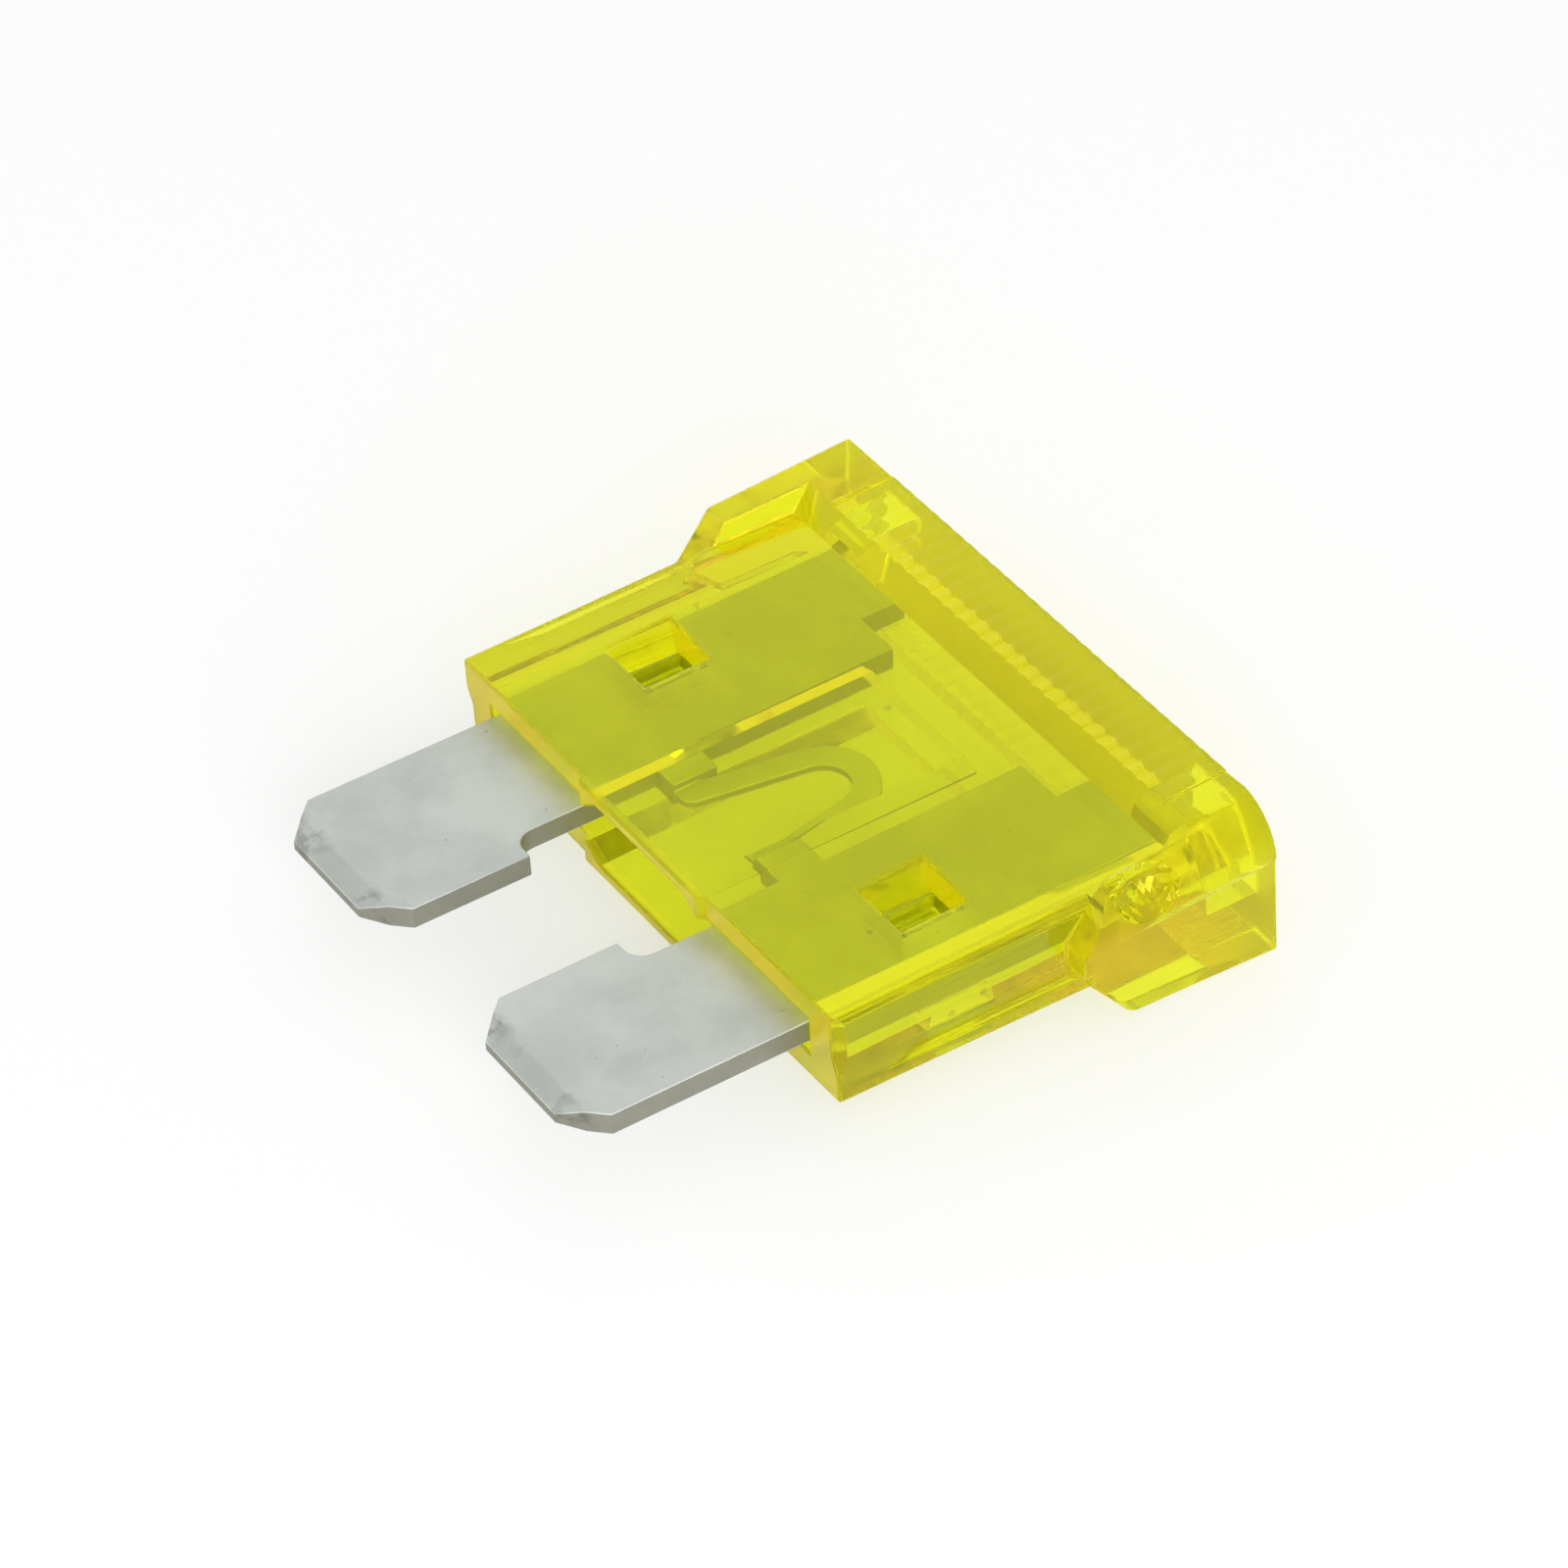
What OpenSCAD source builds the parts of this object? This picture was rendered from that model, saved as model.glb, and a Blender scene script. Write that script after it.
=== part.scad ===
// Plug-in blade fuse, lying flat: one clear moulded housing, closed over one stamped strip of zinc.
//
// X runs across the two blades, Y from the blade tips to the head, and Z through the thickness.
// While a piece is drawn, Y is measured from the blade tips and Z from the middle plane. on_ground()
// then moves it so that the fuse stands on Z = 0 over the middle of its length.
// Everything except the blade outline, the gate scar and the one rounded shoulder corner is the same
// again after half a turn about the Y axis.

/* [Blades] */
// Width of each blade where it plugs in
blade_w = 5.2; // [4.8:0.1:5.4]
// Gap between the two blades
blade_gap = 4.1; // [3.9:0.1:4.5]
// Thickness of the metal
metal_t = 0.65; // [0.6:0.01:0.8]
// Size of the 45 degree cuts on the corners of the tips
tip_cut = 1; // [0.6:0.1:1.6]
// Length of the coined bevel at the tips
tip_bevel = 0.55; // [0.2:0.05:0.8]
// Thickness left at the very tip
tip_edge_t = 0.3; // [0.2:0.05:0.5]
// Distance from the tips to the step in the inner edges
neck_y = 4.4; // [3.5:0.1:5]
// Depth of that step
neck_in = 0.85; // [0.4:0.05:1.1]
// Radius inside the step
neck_r = 0.55; // [0.2:0.05:0.8]
// Distance from the tips to the far edge of the metal
metal_l = 17.2; // [16.8:0.1:17.4]
// Size of the notch in each far inner corner, across and along
top_notch = [1.5, 1.35]; // [1:0.05:2]

/* [Fusible link] */
// Width of the link
link_w = 0.75; // [0.4:0.05:0.9]
// Thickness of the link, coined thinner than the blades
link_t = 0.22; // [0.1:0.01:0.4]
// Radius of the arch along the middle of the link
link_r = 1.15; // [1:0.05:1.25]
// Distance from the tips to the centre of the arch
link_y = 11.75; // [11.4:0.05:12]
// Distance from the tips to the feet of the arch
foot_y = 9; // [8.8:0.05:9.3]
// Distance of each foot from the middle
foot_x = 1.7; // [1.5:0.05:1.8]
// Length along the blade of the lug that carries each foot
lug_l = 1.3; // [0.9:0.05:1.5]

/* [Body] */
// Distance from the tips to the mouth of the housing
mouth_y = 6.5; // [6.2:0.1:7]
// How far the middle of the mouth stands forward
skirt_out = 0.2; // [0.1:0.05:0.4]
// Half the width of the part that stands forward
skirt_x = 2.7; // [2.4:0.1:3]
// Width of the body
body_w = 17.3; // [17:0.1:17.8]
// Thickness of the body at the mouth
body_t = 2.62; // [2.5:0.02:2.8]
// Thickness of the body where it runs into the head
body_root_t = 2.84; // [2.8:0.02:3.2]
// Radius on one long edge of each broad face of the body
body_r = 0.3; // [0.1:0.05:0.5]
// Size of the flattened front corner, one at each side
corner_cut = 0.3; // [0.2:0.05:0.6]

/* [Head] */
// Distance from the tips to the end of the head
overall_l = 18.9; // [18.6:0.1:19.4]
// Width of the head
head_w = 19; // [18.8:0.1:19.4]
// Thickness of the head at its end
head_t = 4.4; // [4.2:0.02:4.6]
// Thickness of the head at its shoulders
shoulder_t = 3.9; // [3.7:0.02:4]
// Distance from the tips to the nose of the shoulders
nose_y = 13.2; // [12.8:0.1:13.6]
// Height of the blunt nose of the shoulders
nose_t = 0.8; // [0.4:0.1:1.2]
// Slope of the shoulders and of the grip bar's front
slant = 50.6; // [45:0.1:60]
// Radius on one long edge of each broad face of the head
head_r = 1.5; // [0.8:0.1:1.8]
// Radius of the one shoulder corner that is rounded, at +X on the lower face
shoulder_r = 0.6; // [0.2:0.1:0.8]
// Distance from the tips to the foot of the grip bar
grip_y = 16.5; // [16.2:0.1:16.8]
// Width of each side wall beside the sunk panel of the head
wing_w = 0.9; // [0.6:0.1:1.2]
// Pitch of the low rounded grip ridges
ridge_pitch = 0.57; // [0.4:0.01:0.6]
// Depth of the shallow valleys between them
ridge_depth = 0.03; // [0.02:0.01:0.08]
// Number of ridges on each face
ridges = 26; // [16:1:28]

/* [Gate scar] */
// Distance from the tips to the dished scar where the moulding was broken from its gate
gate_y = 15.2; // [14.8:0.1:15.6]
// Radius of the scar, which lies on the rounded edge of the head at +X
gate_r = 1.3; // [1:0.05:1.4]
// How far its centre lies outside the side of the head, and above its upper face
gate_out = [0.45, -0.1]; // [-0.3:0.05:0.6]

/* [Inside] */
// Width of the slot that the metal slides into
slot_w = 14.8; // [14.7:0.1:15]
// Height of that slot at the mouth
slot_t = 1.14; // [1.1:0.02:1.3]
// Clearance on each face of the metal at the far end of the slot
slot_clear = 0.05; // [0.03:0.01:0.08]
// Distance from the tips to the far end of the slot
slot_end = 17.4; // [17.3:0.1:17.6]
// Half the width of the flat roof of the higher space around the link
chamber_x = 2; // [1.95:0.05:2.2]
// Half the width of that space at the foot of its sloping sides
chamber_foot_x = 2.6; // [2.3:0.05:2.8]
// Height of that space at the mouth
chamber_t = 1.94; // [1.7:0.02:2.1]
// Height of that space at its far end
chamber_end_t = 1.8; // [1.6:0.02:1.9]
// Distance from the tips to the far end of that space
chamber_end = 14.7; // [14.4:0.1:15]
// Width of the two test slots in the end of the head
probe_w = 1.5; // [1:0.1:1.8]
// Height of the test slots
probe_t = 1.8; // [1.2:0.1:2.2]
// Distance of the test slots from the middle
probe_x = 6.9; // [6.6:0.1:7]

/* [Stakes] */
// Place of each stake: from the middle, and from the tips
stake_at = [5.85, 10.8]; // [5:0.05:12]
// Size of the hole in the metal that the stake fills, across and along
stake_hole = [1.3, 1.8]; // [1:0.1:2.4]
// Gap around the stake in its hole
stake_clear = 0.05; // [0.02:0.01:0.08]
// Size of the dent that the punch leaves in the face
dent_rim = [2, 2]; // [1.6:0.1:2.4]
// How far the rim of the dent lies nearer to the mouth than its floor
dent_lean = 0.2; // [0:0.05:0.3]
// Size of the floor of the dent
dent_floor = [0.95, 1.4]; // [0.6:0.05:1.8]
// Thickness of the plastic left between the two floors
stake_web = 0.3; // [0.2:0.05:0.6]

/* [Side grooves] */
// Distance from the tips to the start of each side groove
groove_y = 7.8; // [7.4:0.1:8.5]
// Distance from the tips to its end
groove_end = 13.4; // [12.5:0.1:13.6]
// Depth of the groove
groove_depth = 0.2; // [0.1:0.05:0.3]
// Length over which it runs in
groove_run_in = 1.1; // [0.5:0.1:1.5]
// Its lower and upper edges, above the middle plane on one side and below it on the other
groove_z = [0.3, 0.95]; // [0.1:0.05:1.2]

/* [Hidden] */
$fn = 64;
over = 1;
blade_in = blade_gap / 2;
blade_out = blade_in + blade_w;
neck_x = blade_in + neck_in;
skirt_y = mouth_y - skirt_out;
panel_x = head_w / 2 - wing_w;
slot_end_t = metal_t + 2 * slot_clear;
shoulder_y = nose_y + (shoulder_t - nose_t) / 2 / tan(slant);
head_tilt = atan((head_t - shoulder_t) / 2 / (overall_l - shoulder_y));

// Height of the body's faces above the middle plane, at a distance y from the tips
function body_face(y) =
    (body_t + (body_root_t - body_t) * (y - skirt_y) / (slot_end - skirt_y)) / 2;

// The same for the faces of the head
function head_face(y) =
    (shoulder_t + (head_t - shoulder_t) * (y - shoulder_y) / (overall_l - shoulder_y)) / 2;

module on_ground() {
    translate([0, -overall_l / 2, head_t / 2]) children();
}

// A drawing in X and Z, drawn out along Y
module along_y(from, to) {
    translate([0, to, 0]) rotate([90, 0, 0]) linear_extrude(to - from) children();
}

// A drawing in Y and Z, drawn out across X
module across_x(width) {
    rotate([90, 0, 90]) linear_extrude(width, center = true) children();
}

module both_faces() {
    children();
    rotate([0, 180, 0]) children();
}

module both_sides() {
    children();
    mirror([1, 0, 0]) children();
}

// A space that is open at one end and whose height changes evenly along Y
module tapered_space(width, from, from_t, to, to_t) {
    open_t = from_t + over * (from_t - to_t) / (to - from);
    across_x(width) polygon([
        [from - over, -open_t / 2], [to, -to_t / 2], [to, to_t / 2], [from - over, open_t / 2]
    ]);
}

// Everything under one broad face, with the edge at +X rounded
module under_face(width, from, from_t, to, to_t, r) {
    tilt = atan((to_t - from_t) / 2 / (to - from));
    translate([0, from, from_t / 2]) rotate([tilt, 0, 0]) along_y(-over, to - from + over)
        difference() {
            translate([-width / 2, -2 * head_t]) square([width, 2 * head_t]);
            translate([width / 2 - r, -r]) difference() {
                square(2 * r);
                circle(r);
            }
        }
}

// A slab whose thickness changes evenly along Y, with one long edge of each face rounded
module slab(width, from, from_t, to, to_t, r) {
    intersection() {
        under_face(width, from, from_t, to, to_t, r);
        rotate([0, 180, 0]) under_face(width, from, from_t, to, to_t, r);
        translate([-width, from, -head_t]) cube([2 * width, to - from, 2 * head_t]);
    }
}

// The wedge that the two shoulders show from the side
module shoulder_outline() {
    run = head_t / tan(slant);
    polygon([
        [nose_y, -nose_t / 2], [nose_y + run, -nose_t / 2 - head_t],
        [overall_l, -nose_t / 2 - head_t], [overall_l, nose_t / 2 + head_t],
        [nose_y + run, nose_t / 2 + head_t], [nose_y, nose_t / 2]
    ]);
}

// The sunk panel in one face of the head, level with the body and open towards the mouth
module panel() {
    across_x(2 * panel_x) polygon([
        [nose_y - over, body_face(nose_y - over)], [grip_y, body_face(grip_y)],
        [grip_y + head_t / tan(slant), body_face(grip_y) + head_t], [nose_y - over, head_t]
    ]);
}

// What is cut away above the rounded ridges in one face of the grip bar
module grip_valleys() {
    half = ridges * ridge_pitch / 2;
    ridge_r = (ridge_pitch * ridge_pitch / 4 + ridge_depth * ridge_depth) / 2 / ridge_depth;
    translate([0, overall_l, head_t / 2]) rotate([head_tilt, 0, 0]) along_y(grip_y - overall_l, over)
        difference() {
            translate([-half, -ridge_depth]) square([2 * half, over]);
            for (i = [0.5 : ridges])
                translate([i * ridge_pitch - half, -ridge_r]) circle(ridge_r);
        }
}

// What the rounding takes off the lower corner of the shoulder at +X
module shoulder_round() {
    corner = 180 - slant + head_tilt;
    middle = (180 - slant - head_tilt) / 2;
    tangent = shoulder_r / tan(corner / 2);
    translate([panel_x + wing_w / 2, shoulder_y, -shoulder_t / 2]) across_x(wing_w + over)
        difference() {
            polygon([
                tangent * [-cos(slant), sin(slant)], tangent * -[cos(middle), sin(middle)],
                tangent * [cos(head_tilt), -sin(head_tilt)]
            ]);
            translate(shoulder_r / sin(corner / 2) * [cos(middle), sin(middle)])
                circle(shoulder_r);
        }
}

module gate_scar() {
    translate([head_w / 2 + gate_out[0], gate_y, head_face(gate_y) + gate_out[1]]) sphere(gate_r);
}

module head_block() {
    difference() {
        intersection() {
            slab(head_w, nose_y, 2 * head_face(nose_y), overall_l, head_t, head_r);
            across_x(head_w + over) shoulder_outline();
        }
        both_faces() panel();
        both_faces() grip_valleys();
        shoulder_round();
        gate_scar();
    }
}

module body_block() {
    slab(body_w, skirt_y, body_t, slot_end, body_root_t, body_r);
}

// The two sides of the mouth stand back from its middle
module mouth_step() {
    both_sides() translate([0, 0, -head_t]) linear_extrude(2 * head_t) polygon([
        [skirt_x, skirt_y - over], [skirt_x, skirt_y], [skirt_x + skirt_out, mouth_y],
        [body_w, mouth_y], [body_w, skirt_y - over]
    ]);
}

module corner_outline() {
    polygon([[-corner_cut, 0], [over, -over], [0, corner_cut]]);
}

// The flat on the upper part of one front corner, which runs out below the middle plane
module front_corner() {
    translate([body_w / 2, mouth_y, 0]) {
        linear_extrude(head_t) corner_outline();
        mirror([0, 0, 1]) linear_extrude(2 * corner_cut, scale = 0) corner_outline();
    }
}

module side_groove() {
    edge = body_w / 2;
    translate([0, 0, -groove_z[1]]) linear_extrude(groove_z[1] - groove_z[0]) polygon([
        [edge + over, groove_y - over * groove_run_in / groove_depth],
        [edge - groove_depth, groove_y + groove_run_in],
        [edge - groove_depth, groove_end], [edge + over, groove_end]
    ]);
}

// The higher space around the link, wider at the slot than at its roof and its floor
module chamber() {
    slot_z = slot_t / 2;
    top = [chamber_foot_x, slot_z] + 1.2 * [chamber_x - chamber_foot_x, (chamber_t - slot_t) / 2];
    intersection() {
        tapered_space(2 * chamber_foot_x, skirt_y, chamber_t, chamber_end, chamber_end_t);
        along_y(skirt_y - 2 * over, overall_l) polygon([
            [-chamber_foot_x, -slot_z], [-top[0], -top[1]], [top[0], -top[1]],
            [chamber_foot_x, -slot_z], [chamber_foot_x, slot_z],
            top, [-top[0], top[1]], [-chamber_foot_x, slot_z]
        ]);
    }
}

// The slot for the metal, the chamber and the two test slots
module inside() {
    tapered_space(slot_w, skirt_y, slot_t, slot_end, slot_end_t);
    chamber();
    both_sides() translate([probe_x - probe_w / 2, slot_end - slot_clear, -probe_t / 2])
        cube([probe_w, overall_l, probe_t]);
}

// A four-sided dent that narrows from its rim to its floor
module dent() {
    floor_z = stake_web / 2;
    rim_z = body_face(stake_at[1]);
    grow = over / (rim_z - floor_z);
    rim = dent_rim + grow * (dent_rim - dent_floor);
    lean = dent_lean * (1 + grow);
    corners = [[-1, -1], [1, -1], [1, 1], [-1, 1]] / 2;
    translate([stake_at[0], stake_at[1], 0]) polyhedron(
        points = concat(
            [for (c = corners) [c[0] * dent_floor[0], c[1] * dent_floor[1], floor_z]],
            [for (c = corners) [c[0] * rim[0], c[1] * rim[1] - lean, rim_z + over]]
        ),
        faces = [[0, 1, 2, 3], [7, 6, 5, 4], [0, 4, 5, 1], [1, 5, 6, 2], [2, 6, 7, 3], [3, 7, 4, 0]]
    );
}

// The plastic that fills each hole in the metal, from wall to wall
module stake() {
    size = stake_hole - 2 * [stake_clear, stake_clear];
    translate([stake_at[0], stake_at[1], 0]) cube([size[0], size[1], slot_t], center = true);
}

module housing() {
    color("yellow", 0.6) on_ground() difference() {
        union() {
            difference() {
                union() {
                    body_block();
                    head_block();
                }
                mouth_step();
                both_faces() front_corner();
                both_faces() side_groove();
                inside();
            }
            both_sides() stake();
        }
        both_sides() both_faces() dent();
    }
}

// Outline of one blade, from its tip to its far edge
module blade_outline() {
    difference() {
        polygon([
            [blade_in + tip_cut, 0], [blade_out - tip_cut, 0], [blade_out, tip_cut],
            [blade_out, metal_l], [neck_x + top_notch[0], metal_l],
            [neck_x + top_notch[0], metal_l - top_notch[1]],
            [neck_x, metal_l - top_notch[1]], [neck_x, neck_y + neck_r],
            [neck_x - neck_r, neck_y], [blade_in, neck_y], [blade_in, tip_cut]
        ]);
        translate([neck_x - neck_r, neck_y + neck_r]) circle(neck_r);
        translate(stake_at - stake_hole / 2) square(stake_hole);
    }
}

// The wedge-shaped waste above the bevel of the tips
module tip_waste() {
    across_x(2 * blade_out + over) polygon([
        [-over, tip_edge_t / 2 - over * (metal_t - tip_edge_t) / 2 / tip_bevel],
        [tip_bevel, metal_t / 2], [tip_bevel, metal_t], [-over, metal_t]
    ]);
}

// The lug at the inner edge of a blade that carries one foot of the link
module lug_outline() {
    translate([chamber_x, foot_y - link_w / 2]) square([neck_x - chamber_x + over, lug_l]);
}

// The arch and the two legs that lean out from it to their feet
module link_outline() {
    reach = norm([foot_x, link_y - foot_y]);
    lean = atan2(foot_x, link_y - foot_y) - asin(link_r / reach);
    leg_l = sqrt(reach * reach - link_r * link_r);
    far = 3 * link_r;
    translate([0, link_y]) {
        intersection() {
            difference() {
                circle(link_r + link_w / 2);
                circle(link_r - link_w / 2);
            }
            polygon([
                [0, 0], far * [cos(lean), sin(lean)], [far, far], [-far, far],
                far * [-cos(lean), sin(lean)]
            ]);
        }
        both_sides() rotate(lean) translate([link_r - link_w / 2, -leg_l])
            square([link_w, leg_l]);
    }
    both_sides() translate([foot_x, foot_y]) circle(link_w / 2);
    both_sides() translate([foot_x, foot_y - link_w / 2])
        square([neck_x - foot_x + over, link_w]);
}

module fuse_element() {
    color("silver") on_ground() {
        difference() {
            linear_extrude(metal_t, center = true) both_sides() {
                blade_outline();
                lug_outline();
            }
            both_faces() tip_waste();
        }
        linear_extrude(link_t, center = true) link_outline();
    }
}

housing();
fuse_element();
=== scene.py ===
"""Looks and studio for a plug-in blade fuse: a clear yellow moulding over a stamped zinc strip.

X runs across the blades, Y from the blade tips to the head, and Z through the thickness, in metres.
"""

from math import cos, pi, radians, sin

import bmesh
import bpy
from bpy.props import (
    FloatProperty,
    FloatVectorProperty,
    PointerProperty,
)
from bpy.types import Operator, Panel, PropertyGroup
from mathutils import Matrix, Vector, noise


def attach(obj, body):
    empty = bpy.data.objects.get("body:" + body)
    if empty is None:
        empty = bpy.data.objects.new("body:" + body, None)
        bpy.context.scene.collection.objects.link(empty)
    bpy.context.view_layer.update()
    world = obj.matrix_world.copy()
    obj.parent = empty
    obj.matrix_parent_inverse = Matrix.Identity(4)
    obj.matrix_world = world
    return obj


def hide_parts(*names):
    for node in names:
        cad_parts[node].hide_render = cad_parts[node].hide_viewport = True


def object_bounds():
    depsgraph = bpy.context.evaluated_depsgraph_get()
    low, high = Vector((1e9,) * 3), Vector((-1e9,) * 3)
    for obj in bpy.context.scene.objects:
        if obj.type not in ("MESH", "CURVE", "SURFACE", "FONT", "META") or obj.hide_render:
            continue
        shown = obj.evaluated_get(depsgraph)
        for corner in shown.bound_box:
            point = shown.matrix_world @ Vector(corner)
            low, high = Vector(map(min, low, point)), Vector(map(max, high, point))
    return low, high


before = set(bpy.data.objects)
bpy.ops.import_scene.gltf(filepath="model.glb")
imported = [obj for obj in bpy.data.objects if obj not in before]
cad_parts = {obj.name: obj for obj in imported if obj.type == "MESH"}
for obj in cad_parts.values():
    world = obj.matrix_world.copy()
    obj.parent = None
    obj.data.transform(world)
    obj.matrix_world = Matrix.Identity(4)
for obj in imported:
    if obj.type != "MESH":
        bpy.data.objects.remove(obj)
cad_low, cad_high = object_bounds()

bl_info = {
    "name": "Clear Blade Fuse",
    "version": (1, 0, 0),
    "blender": (4, 5, 0),
    "location": "View3D > Sidebar > Fuse",
    "description": "Finishes the moulding and the metal strip of a clear blade fuse, and lights it",
    "category": "Object",
}

MM = 0.001
MID_HEIGHT = (cad_low.z + cad_high.z) / 2


# Settings


class FusePlasticSettings(PropertyGroup):
    """Shape and finish of the clear moulding"""

    edge_radius: FloatProperty(
        name="Edge Radius",
        description="Rounding of the moulded edges",
        default=0.08 * MM,
        min=0,
        unit="LENGTH",
        precision=6,
    )
    dye: FloatVectorProperty(
        name="Dye",
        description="Colour that the plastic lets through, before the density counts",
        default=(0.997, 0.977, 0.12),
        min=0,
        max=1,
        subtype="COLOR",
    )
    dye_density: FloatProperty(
        name="Dye Density",
        description="How much light each metre of the plastic takes off in a fully dyed colour",
        default=1200.0,
        min=0,
    )
    bend: FloatProperty(
        name="IOR",
        description="Refraction of polycarbonate",
        default=1.58,
        min=1,
        max=2.5,
    )
    ripple: FloatProperty(
        name="Ripple",
        description="Strength of the shallow waves that cooling leaves in the faces",
        default=0.12,
        min=0,
        max=1,
        subtype="FACTOR",
    )


class FuseMetalSettings(PropertyGroup):
    """Shape and finish of the stamped strip"""

    edge_radius: FloatProperty(
        name="Edge Radius",
        description="Roll-over of the stamped edges",
        default=0.03 * MM,
        min=0,
        unit="LENGTH",
        precision=6,
    )
    zinc: FloatVectorProperty(
        name="Zinc",
        description="Colour of the rolled faces",
        default=(0.64, 0.675, 0.635),
        min=0,
        max=1,
        subtype="COLOR",
    )
    # Partly painted shade: the cut edges are darker and more olive than the rolled faces. This is
    # partly the cut's own dull grain and partly shade on these upright faces, which turn away from
    # the light overhead.
    sheared_and_shaded: FloatVectorProperty(
        name="Sheared And Shaded Zinc",
        description="Colour of the edges that the stamping tool cut",
        default=(0.31, 0.31, 0.255),
        min=0,
        max=1,
        subtype="COLOR",
    )
    roughness: FloatProperty(
        name="Roughness",
        description="Dullness of the rolled faces",
        default=0.42,
        min=0,
        max=1,
        subtype="FACTOR",
    )
    sheared_roughness: FloatProperty(
        name="Sheared Roughness",
        description="Dullness of the edges that the stamping tool cut",
        default=0.5,
        min=0,
        max=1,
        subtype="FACTOR",
    )


class FuseStudioSettings(PropertyGroup):
    """Camera, lamps, room and floor"""

    turn: FloatProperty(
        name="Camera Turn",
        description="Angle of the camera round the fuse, from the blade tips towards +X",
        default=radians(59.68),
        subtype="ANGLE",
    )
    rise: FloatProperty(
        name="Camera Rise",
        description="Angle of the camera above the floor",
        default=radians(39.85),
        subtype="ANGLE",
    )
    roll: FloatProperty(
        name="Camera Roll",
        description="Turn of the camera about its own line of sight",
        default=radians(-4.08),
        subtype="ANGLE",
    )
    distance: FloatProperty(
        name="Camera Distance",
        description="From the camera to the middle of the fuse",
        default=180.2 * MM,
        min=0.01,
        unit="LENGTH",
        precision=4,
    )
    aim: FloatVectorProperty(
        name="Camera Aim",
        description="How far the line of sight passes right of and above the middle of the fuse",
        default=(0.949 * MM, 1.136 * MM),
        size=2,
        unit="LENGTH",
        precision=6,
    )
    focal: FloatProperty(
        name="Focal Length",
        description="Of the lens, on a 36 mm sensor, in millimetres",
        default=165.7,
        min=10,
    )
    key_power: FloatProperty(
        name="Key Power",
        description="Of the large soft lamp behind the fuse, in watts",
        default=0.08,
        min=0,
    )
    fill_power: FloatProperty(
        name="Fill Power",
        description="Of the low soft lamp in front of the fuse, in watts",
        default=0.75,
        min=0,
    )
    side_power: FloatProperty(
        name="Side Power",
        description="Of the low soft lamp beside the head, in watts",
        default=0.16,
        min=0,
    )
    sky: FloatProperty(
        name="Sky",
        description="Brightness of the room overhead",
        default=0.58,
        min=0,
    )
    floor_glow: FloatProperty(
        name="Floor Glow",
        description="How much the floor shines by itself towards the camera",
        default=0.52,
        min=0,
        max=1,
        subtype="FACTOR",
    )


# Shader nodes


def add_node(tree, kind, settings=None, **inputs):
    """A new node with its settings. Sockets are set or joined by name, or by number as _0."""
    node = tree.nodes.new(kind)
    for name, value in (settings or {}).items():
        setattr(node, name, value)
    for name, value in inputs.items():
        key = int(name[1:]) if name[1:].isdigit() else name.replace("_", " ")
        socket = node.inputs[key]
        if isinstance(value, bpy.types.NodeSocket):
            tree.links.new(value, socket)
        else:
            socket.default_value = value
    return node


def add_math(tree, operation, first, second):
    node = add_node(tree, "ShaderNodeMath", {"operation": operation}, _0=first, _1=second)
    return node.outputs[0]


def add_sum(tree, first, *others):
    for other in others:
        first = add_math(tree, "ADD", first, other)
    return first


def add_range(tree, value, low, high, to_low=0.0, to_high=1.0):
    """The value eased from one range into another."""
    node = add_node(
        tree, "ShaderNodeMapRange", {"interpolation_type": "SMOOTHSTEP"},
        _0=value, _1=low, _2=high, _3=to_low, _4=to_high,
    )
    return node.outputs[0]


def add_mix(tree, share, first, second):
    """Two colours mixed."""
    node = add_node(
        tree, "ShaderNodeMix", {"data_type": "RGBA"}, _0=share, _6=first, _7=second
    )
    return node.outputs[2]


def add_attribute(tree, name):
    return add_node(tree, "ShaderNodeAttribute", {"attribute_name": name}).outputs["Fac"]


def new_group(name, inputs, outputs):
    """An empty shader node group with named sockets, and its input and output nodes."""
    group = bpy.data.node_groups.new(name, "ShaderNodeTree")
    for way, sockets in (("INPUT", inputs), ("OUTPUT", outputs)):
        for label, kind, value in sockets:
            socket = group.interface.new_socket(label, in_out=way, socket_type="NodeSocket" + kind)
            if value is not None:
                socket.default_value = value
    return group, group.nodes.new("NodeGroupInput"), group.nodes.new("NodeGroupOutput")


SPECK_RADIUS = 0.22  # of the largest speck, as a share of the spacing
SCRATCH_LEVEL = (0.68, 0.74)  # streaks below the first are none, and those above the second full


def specks_group():
    """Scattered specks of dust and small pits, as a mask."""
    name = "Fuse Specks"
    if name in bpy.data.node_groups:
        return bpy.data.node_groups[name]
    group, given, result = new_group(
        name,
        [("Vector", "Vector", None), ("Scale", "Float", 900.0), ("Amount", "Float", 0.1)],
        [("Mask", "Float", None)],
    )
    cells = add_node(
        group, "ShaderNodeTexVoronoi", {"feature": "F1"},
        Vector=given.outputs["Vector"], Scale=given.outputs["Scale"],
    )
    chance = add_node(
        group, "ShaderNodeTexWhiteNoise", {"noise_dimensions": "3D"},
        Vector=cells.outputs["Position"],
    )
    radius = add_math(group, "MULTIPLY", chance.outputs["Value"], SPECK_RADIUS)
    near = add_math(group, "LESS_THAN", cells.outputs["Distance"], radius)
    other = add_node(group, "ShaderNodeSeparateColor", Color=chance.outputs["Color"])
    picked = add_math(group, "LESS_THAN", other.outputs[1], given.outputs["Amount"])
    group.links.new(add_math(group, "MULTIPLY", near, picked), result.inputs["Mask"])
    return group


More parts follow.
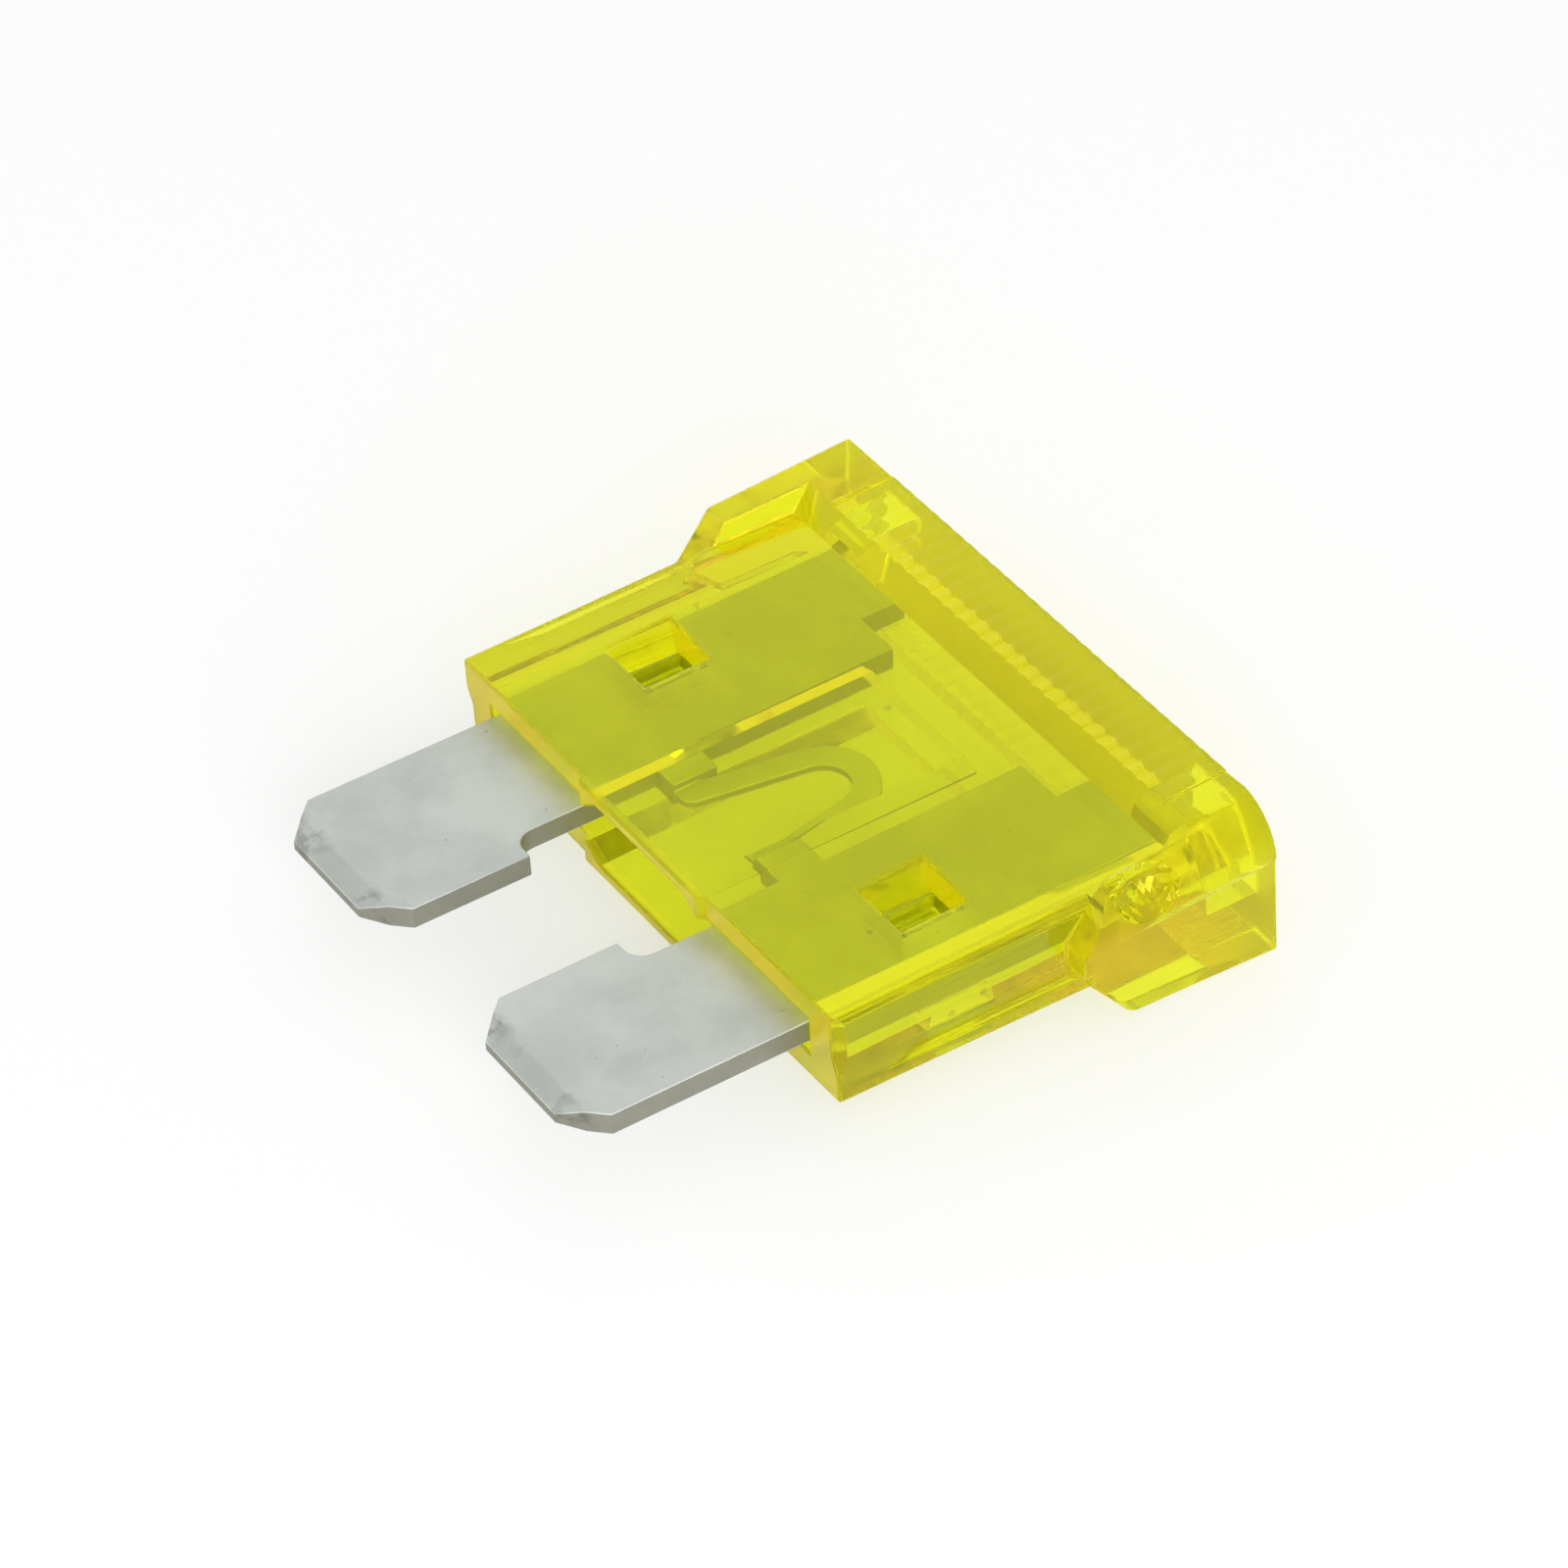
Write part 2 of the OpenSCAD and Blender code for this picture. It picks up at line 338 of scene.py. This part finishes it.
def streaks_group():
    """Long fine streaks along one direction, as a value and as a mask of the strongest."""
    name = "Fuse Streaks"
    if name in bpy.data.node_groups:
        return bpy.data.node_groups[name]
    group, given, result = new_group(
        name,
        [
            ("Vector", "Vector", None),
            ("Across", "Float", 20000.0),
            ("Along", "Float", 900.0),
            ("Turn", "Float", 0.0),
        ],
        [("Value", "Float", None), ("Scratch", "Float", None)],
    )
    turned = add_node(
        group, "ShaderNodeVectorRotate", {"rotation_type": "Z_AXIS"},
        Vector=given.outputs["Vector"], Angle=given.outputs["Turn"],
    )
    scale = add_node(
        group, "ShaderNodeCombineXYZ",
        X=given.outputs["Across"], Y=given.outputs["Along"], Z=given.outputs["Across"],
    )
    stretched = add_node(
        group, "ShaderNodeVectorMath", {"operation": "MULTIPLY"},
        _0=turned.outputs[0], _1=scale.outputs[0],
    )
    streaks = add_node(
        group, "ShaderNodeTexNoise",
        Vector=stretched.outputs[0], Scale=1.0, Detail=4.0, Roughness=0.6,
    ).outputs["Fac"]
    group.links.new(streaks, result.inputs["Value"])
    group.links.new(add_range(group, streaks, *SCRATCH_LEVEL), result.inputs["Scratch"])
    return group


def add_group(tree, group, **inputs):
    return add_node(tree, "ShaderNodeGroup", {"node_tree": group}, **inputs)


def new_material(name):
    material = bpy.data.materials.new(name)
    material.use_nodes = True
    tree = material.node_tree
    tree.nodes.clear()
    return material, tree, tree.nodes.new("ShaderNodeOutputMaterial")


# The plastic's finish. Places are along Y, from the middle of the fuse.

MOUTH = (-2.92 * MM, -2.86 * MM)  # the open end's finish is full before it and gone after it
GRIP_END = (9.3 * MM, 9.4 * MM)  # the grip end's finish starts here and is full here
FINE_HEIGHT = 0.006  # of the fine grain, against the moulding waves
POLISH = (0.035, 0.055)  # least and greatest roughness of the moulded faces
SCUFF_ROUGHNESS = 0.06  # added in the scuffs
EDGE_ROUGHNESS = 0.3  # added on the roundings and on the open end
END_ROUGHNESS = 0.5  # added on the grip end
CLEAR = (0.855, 0.905, 0.06, 1)  # what the faces let through
DUSTY = (0.6, 0.6, 0.1, 1)  # what the specks of dust let through
# Painted glow: the roundings and the open end let through a lighter, clearer yellow than the faces,
# standing in for light that the moulding carries to its edges.
PAINTED_EDGE_GLOW = (1, 1, 0.06, 1)  # what the roundings and the open end let through
# Painted reflection: the faces mirror in yellow rather than white, standing in for the yellow light
# and shade that the moulding casts round itself.
PAINTED_YELLOW_REFLECTION = (1, 1, 0.15, 1)  # what the faces mirror
CAST = (0.93, 0.95, 0.25, 1)  # the light that falls through the moulding onto other things


def plastic_material(settings):
    """Clear dyed polycarbonate: the dye colours by depth, and the faces keep moulding waves. The
    roundings and the open end carry a painted glow, and the faces a painted yellow reflection.
    """
    material, tree, output = new_material("Clear Yellow Plastic")
    place = tree.nodes.new("ShaderNodeTexCoord").outputs["Object"]
    along = add_node(tree, "ShaderNodeSeparateXYZ", Vector=place).outputs["Y"]
    rounding = add_attribute(tree, "rounding")
    mouth = add_range(tree, along, *MOUTH, 1, 0)
    waves = add_node(
        tree, "ShaderNodeTexNoise", Vector=place, Scale=420.0, Detail=2.0, Roughness=0.4
    ).outputs["Fac"]
    fine = add_node(
        tree, "ShaderNodeTexNoise", Vector=place, Scale=6000.0, Detail=3.0, Roughness=0.6
    ).outputs["Fac"]
    specks = add_group(tree, specks_group(), Vector=place, Scale=1500.0, Amount=0.06)
    scuffs = add_group(
        tree, streaks_group(), Vector=place, Across=26000.0, Along=900.0, Turn=0.7
    )
    height = add_sum(tree, waves, add_math(tree, "MULTIPLY", fine, FINE_HEIGHT))
    bump = add_node(
        tree, "ShaderNodeBump", Height=height, Strength=settings.ripple, Distance=0.1 * MM
    )
    roughness = add_sum(
        tree,
        add_range(tree, fine, 0.3, 0.7, *POLISH),
        add_math(tree, "MULTIPLY", scuffs.outputs["Scratch"], SCUFF_ROUGHNESS),
        add_math(tree, "MULTIPLY", rounding, EDGE_ROUGHNESS),
        add_range(tree, along, *GRIP_END, 0, END_ROUGHNESS),
        add_math(tree, "MULTIPLY", mouth, EDGE_ROUGHNESS),
    )
    tint = add_mix(tree, specks.outputs["Mask"], CLEAR, DUSTY)
    # Painted glow: the roundings and the open end are tinted lighter than the faces.
    tint = add_mix(tree, add_math(tree, "MAXIMUM", rounding, mouth), tint, PAINTED_EDGE_GLOW)
    shader = add_node(
        tree, "ShaderNodeBsdfPrincipled",
        Base_Color=tint, Roughness=roughness, IOR=settings.bend, Transmission_Weight=0.9,
        # The specular tint paints the reflections yellow.
        Specular_Tint=PAINTED_YELLOW_REFLECTION, Normal=bump.outputs[0],
    )
    depth = add_node(
        tree, "ShaderNodeVolumeAbsorption",
        Color=(*settings.dye, 1), Density=settings.dye_density,
    )
    rays = tree.nodes.new("ShaderNodeLightPath")
    passed = add_node(tree, "ShaderNodeBsdfTransparent", Color=CAST)
    both = add_node(
        tree, "ShaderNodeMixShader",
        _0=rays.outputs["Is Shadow Ray"], _1=shader.outputs[0], _2=passed.outputs[0],
    )
    tree.links.new(both.outputs[0], output.inputs["Surface"])
    tree.links.new(depth.outputs[0], output.inputs["Volume"])
    return material


# The zinc's finish

COINED_TIP = (-9.0 * MM, -8.6 * MM)  # along Y: fully bruised up to here, and clean from here on
CLOUD_SHADES = (0.92, 1.1)  # of the zinc's colour, in the dark and the light clouds
SCRATCH_SHADE = 1.35
PIT_SHADE = 0.45
BRUISE_SHADE = 0.4
GRAIN_ROUGHNESS = 0.14  # from the lowest grain to the highest
MEAN_ROUGHNESS = 0.06  # about what the grain adds, which is taken off first
BURR_ROUGHNESS = 0.3  # added on the rounded edges


def shaded(colour, share):
    """The colour made darker or lighter, with its alpha."""
    return tuple(min(1, part * share) for part in colour) + (1,)


def zinc_material(name, colour, roughness, across, along, depth):
    """Dull zinc with the fine streaks of rolling or shearing, pits and a few scratches."""
    material, tree, output = new_material(name)
    place = tree.nodes.new("ShaderNodeTexCoord").outputs["Object"]
    from_middle = add_node(tree, "ShaderNodeSeparateXYZ", Vector=place).outputs["Y"]
    grain = add_group(
        tree, streaks_group(), Vector=place, Across=across, Along=along, Turn=0.05
    ).outputs["Value"]
    scratches = add_group(
        tree, streaks_group(), Vector=place, Across=14000.0, Along=900.0, Turn=-0.6
    ).outputs["Scratch"]
    pits = add_group(
        tree, specks_group(), Vector=place, Scale=4200.0, Amount=0.1
    ).outputs["Mask"]
    clouds = add_node(
        tree, "ShaderNodeTexNoise", Vector=place, Scale=330.0, Detail=6.0, Roughness=0.62
    ).outputs["Fac"]
    crumple = add_node(
        tree, "ShaderNodeTexNoise", Vector=place, Scale=2600.0, Detail=3.0, Roughness=0.55
    ).outputs["Fac"]
    bruise = add_math(
        tree, "MULTIPLY",
        add_range(tree, from_middle, *COINED_TIP, 1, 0), add_range(tree, crumple, 0.35, 0.65),
    )
    bruise = add_math(tree, "MULTIPLY", bruise, add_range(tree, clouds, 0.42, 0.58))
    dark, light = [shaded(colour, share) for share in CLOUD_SHADES]
    shade = add_mix(tree, add_range(tree, clouds, 0.32, 0.68), dark, light)
    for mask, strength, share in (
        (scratches, 0.5, SCRATCH_SHADE),
        (pits, 0.5, PIT_SHADE),
        (bruise, 0.6, BRUISE_SHADE),
    ):
        shade = add_mix(
            tree, add_math(tree, "MULTIPLY", mask, strength), shade, shaded(colour, share)
        )
    raised = add_sum(tree, grain, add_math(tree, "MULTIPLY", clouds, 0.6))
    height = add_math(tree, "SUBTRACT", raised, add_sum(tree, scratches, pits))
    height = add_math(tree, "SUBTRACT", height, add_math(tree, "MULTIPLY", bruise, 2.0))
    bump = add_node(tree, "ShaderNodeBump", Height=height, Strength=depth, Distance=0.02 * MM)
    rough = add_sum(
        tree,
        roughness - MEAN_ROUGHNESS,
        add_math(tree, "MULTIPLY", grain, GRAIN_ROUGHNESS),
        add_math(tree, "MULTIPLY", add_attribute(tree, "rounding"), BURR_ROUGHNESS),
    )
    shader = add_node(
        tree, "ShaderNodeBsdfPrincipled",
        Base_Color=shade, Metallic=0.75, Roughness=rough, Normal=bump.outputs[0],
    )
    tree.links.new(shader.outputs[0], output.inputs["Surface"])
    return material


# Pieces


# The room round the slot and the stakes, whose edges stay as moulded, in millimetres
ROOM_HALF_HEIGHT = 1.2
ROOM_HALF_WIDTH = 8.4
ROOM_ALONG = (-2.9, 9.3)

# The dish that the torn gate left in one side of the head, in millimetres
SCAR_CENTRE = Vector((9.95, 5.75, 4.091))
SCAR_RADIUS = 1.3
SCAR_DEPTH = 0.2
TEARS = ((1.7, 1.0), (4.3, 0.5))  # how close the tears lie, and how deep they are

JOINED = 0.004  # millimetres between points that are taken as one
SHORTEST = 0.3  # millimetres of the shortest moulded edge that is rounded
FLAT = radians(0.4)  # faces that turn by less than this are one face
ROUNDED = radians(62)  # edges that turn by more than this are rounded
HARD = radians(75)  # edges that still turn by more than this after the rounding stay sharp


def on_outside(edge):
    """Whether an edge of the housing lies out of the slot and away from the stakes."""
    first, last = ROOM_ALONG
    return all(
        abs(v.co.z - MID_HEIGHT / MM) > ROOM_HALF_HEIGHT
        or abs(v.co.x) > ROOM_HALF_WIDTH
        or not first < v.co.y < last
        for v in edge.verts
    )


def on_scar(place, slack):
    """Whether a place lies on the dish, to within the slack."""
    return abs((place - SCAR_CENTRE).length - SCAR_RADIUS) < slack


def crumple_scar(bm):
    """Makes the dished gate scar as rough as torn plastic."""
    dish = {f for f in bm.faces if all(on_scar(v.co, 0.02) for v in f.verts)}
    edges = {e for f in dish for e in f.edges if all(g in dish for g in e.link_faces)}
    points = [
        v for v in bm.verts
        if any(e in edges for e in v.link_edges)
        and all(on_scar(f.calc_center_median(), 0.06) for f in v.link_faces)
    ]
    for point in points:
        shift = sum(size * noise.noise(point.co * close) for close, size in TEARS)
        point.co += (SCAR_CENTRE - point.co).normalized() * SCAR_DEPTH * shift
        for edge in point.link_edges:
            edge.smooth = False


def rounded_copy(node, name, radius, crease, chosen=lambda edge: True):
    """A copy of a CAD solid, its triangles joined into faces and its chosen edges rounded."""
    bm = bmesh.new()
    bm.from_mesh(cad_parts[node].data)
    bmesh.ops.scale(bm, vec=(1 / MM,) * 3, verts=bm.verts)
    bmesh.ops.remove_doubles(bm, verts=bm.verts, dist=JOINED)
    bmesh.ops.dissolve_limit(bm, angle_limit=FLAT, verts=bm.verts, edges=bm.edges)
    for edge in bm.edges:  # one that more than two faces share stays sharp
        edge.smooth = edge.calc_face_angle(pi) < crease
    sharp = [e for e in bm.edges if e.calc_face_angle(0) > ROUNDED and chosen(e)]
    rounding = bm.faces.layers.float.new("rounding")
    made = bmesh.ops.bevel(
        bm, geom=sharp, offset=radius / MM, offset_type="OFFSET", affect="EDGES",
        segments=2, profile=0.5, material=-1, clamp_overlap=False,
    )
    for face in made["faces"]:
        face[rounding] = 1
    for edge in bm.edges:
        if edge.calc_face_angle(pi) > HARD:
            edge.smooth = False
    if node == "housing":
        crumple_scar(bm)
    bmesh.ops.scale(bm, vec=(MM,) * 3, verts=bm.verts)
    mesh = bpy.data.meshes.new(name)
    bm.to_mesh(mesh)
    bm.free()
    piece = bpy.data.objects.new(name, mesh)
    bpy.context.scene.collection.objects.link(piece)
    return piece


def keep_faces_flat(piece):
    """Shades the roundings smooth and leaves the large faces flat."""
    for face in piece.data.polygons:
        face.use_smooth = True
    weights = piece.modifiers.new("Flat Faces", "WEIGHTED_NORMAL")
    weights.weight = 100
    weights.keep_sharp = True


class FUSE_OT_make_housing(Operator):
    """Make the clear moulding"""

    bl_idname = "fuse.make_housing"
    bl_label = "Make Housing"
    bl_options = {"REGISTER", "UNDO"}

    def execute(self, context):
        settings = context.scene.fuse_plastic
        piece = rounded_copy(
            "housing", "clear_housing", settings.edge_radius, radians(25),
            lambda edge: edge.calc_length() > SHORTEST and on_outside(edge),
        )
        piece.data.materials.append(plastic_material(settings))
        keep_faces_flat(piece)
        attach(piece, "root")
        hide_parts("housing")
        return {"FINISHED"}


class FUSE_OT_make_strip(Operator):
    """Make the stamped zinc strip with its blades and its link"""

    bl_idname = "fuse.make_strip"
    bl_label = "Make Strip"
    bl_options = {"REGISTER", "UNDO"}

    def execute(self, context):
        settings = context.scene.fuse_metal
        piece = rounded_copy("fuse_element", "zinc_strip", settings.edge_radius, radians(12))
        for finish in (
            zinc_material(
                "Rolled Zinc", settings.zinc, settings.roughness,
                across=9000.0, along=700.0, depth=0.35,
            ),
            # The darker finish of the cut edges: their own dull grain, with painted shade.
            zinc_material(
                "Sheared And Shaded Zinc", settings.sheared_and_shaded, settings.sheared_roughness,
                across=5000.0, along=5000.0, depth=0.8,
            ),
        ):
            piece.data.materials.append(finish)
        # The upright faces take the darker finish: the cut's own dull grain, with painted shade.
        for face in piece.data.polygons:
            upright = abs(face.normal.z) < 0.3
            face.material_index = 1 if upright else 0
        keep_faces_flat(piece)
        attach(piece, "root")
        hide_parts("fuse_element")
        return {"FINISHED"}


# Studio. All of it stands round the middle of the fuse.

MIDDLE = Vector((0, 0, MID_HEIGHT))
LAMP_DISTANCE = 0.35
FLOOR_HALF = 1.5  # of the floor's side
FLOOR_COLOUR = (0.54, 0.54, 0.54, 1)
WHITE = (1, 1, 1, 1)
HORIZON = (0.12, 0.4)  # sines of the rises where the bright walls end and the full sky begins
MAX_BOUNCES = 32


def towards(turn, rise):
    """The direction from the fuse to a thing that stands at that turn and rise."""
    return Vector((sin(turn) * cos(rise), -cos(turn) * cos(rise), sin(rise)))


def add_lamp(name, turn, rise, size, power):
    """A square soft lamp that points at the fuse, with its turn and rise in degrees."""
    back = towards(radians(turn), radians(rise))
    lamp = bpy.data.lights.new(name, "AREA")
    lamp.shape = "SQUARE"
    lamp.size = size
    lamp.energy = power
    obj = bpy.data.objects.new(name, lamp)
    obj.location = MIDDLE + LAMP_DISTANCE * back
    obj.rotation_mode = "QUATERNION"
    obj.rotation_quaternion = (-back).to_track_quat("-Z", "Y")
    bpy.context.scene.collection.objects.link(obj)


def add_camera(settings):
    """The scene's camera. Its position, turn and lens come from the settings."""
    back = towards(settings.turn, settings.rise)
    right = Vector((0, 0, 1)).cross(back).normalized()
    up = back.cross(right)
    turned = Matrix.Rotation(settings.roll, 3, back)
    right, up = turned @ right, turned @ up
    aimed = MIDDLE + settings.aim[0] * right + settings.aim[1] * up
    camera = bpy.data.cameras.new("Camera")
    camera.lens = settings.focal
    camera.clip_start = 1 * MM
    obj = bpy.data.objects.new("Camera", camera)
    axes = Matrix((right, up, back)).transposed().to_4x4()
    obj.matrix_world = Matrix.Translation(aimed + back * settings.distance) @ axes
    bpy.context.scene.collection.objects.link(obj)
    bpy.context.scene.camera = obj


def add_floor(settings):
    """A pale floor that takes the fuse's shadow and shines a little by itself."""
    bm = bmesh.new()
    bmesh.ops.create_grid(bm, x_segments=2, y_segments=2, size=FLOOR_HALF)
    mesh = bpy.data.meshes.new("Floor")
    bm.to_mesh(mesh)
    bm.free()
    floor = bpy.data.objects.new("Floor", mesh)
    bpy.context.scene.collection.objects.link(floor)
    material, tree, output = new_material("Pale Floor")
    rays = tree.nodes.new("ShaderNodeLightPath").outputs
    mirrored = add_math(tree, "MAXIMUM", rays["Is Glossy Ray"], rays["Is Transmission Ray"])
    seen = add_math(tree, "MAXIMUM", rays["Is Camera Ray"], mirrored)
    matt = add_node(tree, "ShaderNodeBsdfDiffuse", Color=FLOOR_COLOUR)
    glow = add_node(
        tree, "ShaderNodeEmission", Color=WHITE,
        Strength=add_math(tree, "MULTIPLY", seen, settings.floor_glow),
    )
    both = add_node(tree, "ShaderNodeAddShader", _0=matt.outputs[0], _1=glow.outputs[0])
    tree.links.new(both.outputs[0], output.inputs["Surface"])
    mesh.materials.append(material)


def add_sky(settings):
    """An even room, with bright walls and a dimmer sky."""
    world = bpy.data.worlds.new("Studio")
    bpy.context.scene.world = world
    world.use_nodes = True
    tree = world.node_tree
    tree.nodes.clear()
    output = tree.nodes.new("ShaderNodeOutputWorld")
    direction = tree.nodes.new("ShaderNodeTexCoord").outputs["Generated"]
    height = add_node(tree, "ShaderNodeSeparateXYZ", Vector=direction).outputs["Z"]
    room = add_range(tree, height, *HORIZON, 1.0, settings.sky)
    back = add_node(tree, "ShaderNodeBackground", Color=WHITE, Strength=room)
    tree.links.new(back.outputs[0], output.inputs["Surface"])


class FUSE_OT_make_studio(Operator):
    """Make the floor, the lamps, the room and the camera"""

    bl_idname = "fuse.make_studio"
    bl_label = "Make Studio"
    bl_options = {"REGISTER", "UNDO"}

    def execute(self, context):
        settings = context.scene.fuse_studio
        context.scene.view_settings.view_transform = "Standard"
        for kind in ("max_bounces", "glossy_bounces", "transmission_bounces"):
            setattr(context.scene.cycles, kind, MAX_BOUNCES)
        add_camera(settings)
        add_floor(settings)
        add_sky(settings)
        add_lamp("Key", turn=228, rise=44, size=0.3, power=settings.key_power)
        add_lamp("Fill", turn=70, rise=22, size=0.22, power=settings.fill_power)
        add_lamp("Side", turn=300, rise=14, size=0.15, power=settings.side_power)
        return {"FINISHED"}


class FUSE_PT_sidebar(Panel):
    """Lists the steps that make the fuse, with their settings"""

    bl_idname = "FUSE_PT_sidebar"
    bl_label = "Blade Fuse"
    bl_space_type = "VIEW_3D"
    bl_region_type = "UI"
    bl_category = "Fuse"

    def draw(self, context):
        scene = context.scene
        for group, operator in (
            (scene.fuse_plastic, FUSE_OT_make_housing),
            (scene.fuse_metal, FUSE_OT_make_strip),
            (scene.fuse_studio, FUSE_OT_make_studio),
        ):
            column = self.layout.column()
            for name in group.__annotations__:
                column.prop(group, name)
            column.operator(operator.bl_idname)


CLASSES = (
    FusePlasticSettings,
    FuseMetalSettings,
    FuseStudioSettings,
    FUSE_OT_make_housing,
    FUSE_OT_make_strip,
    FUSE_OT_make_studio,
    FUSE_PT_sidebar,
)


def register():
    for cls in CLASSES:
        bpy.utils.register_class(cls)
    bpy.types.Scene.fuse_plastic = PointerProperty(type=FusePlasticSettings)
    bpy.types.Scene.fuse_metal = PointerProperty(type=FuseMetalSettings)
    bpy.types.Scene.fuse_studio = PointerProperty(type=FuseStudioSettings)


def unregister():
    del bpy.types.Scene.fuse_studio
    del bpy.types.Scene.fuse_metal
    del bpy.types.Scene.fuse_plastic
    for cls in reversed(CLASSES):
        bpy.utils.unregister_class(cls)


def main():
    register()
    bpy.ops.fuse.make_housing()
    bpy.ops.fuse.make_strip()
    bpy.ops.fuse.make_studio()


if __name__ == "__main__":
    main()
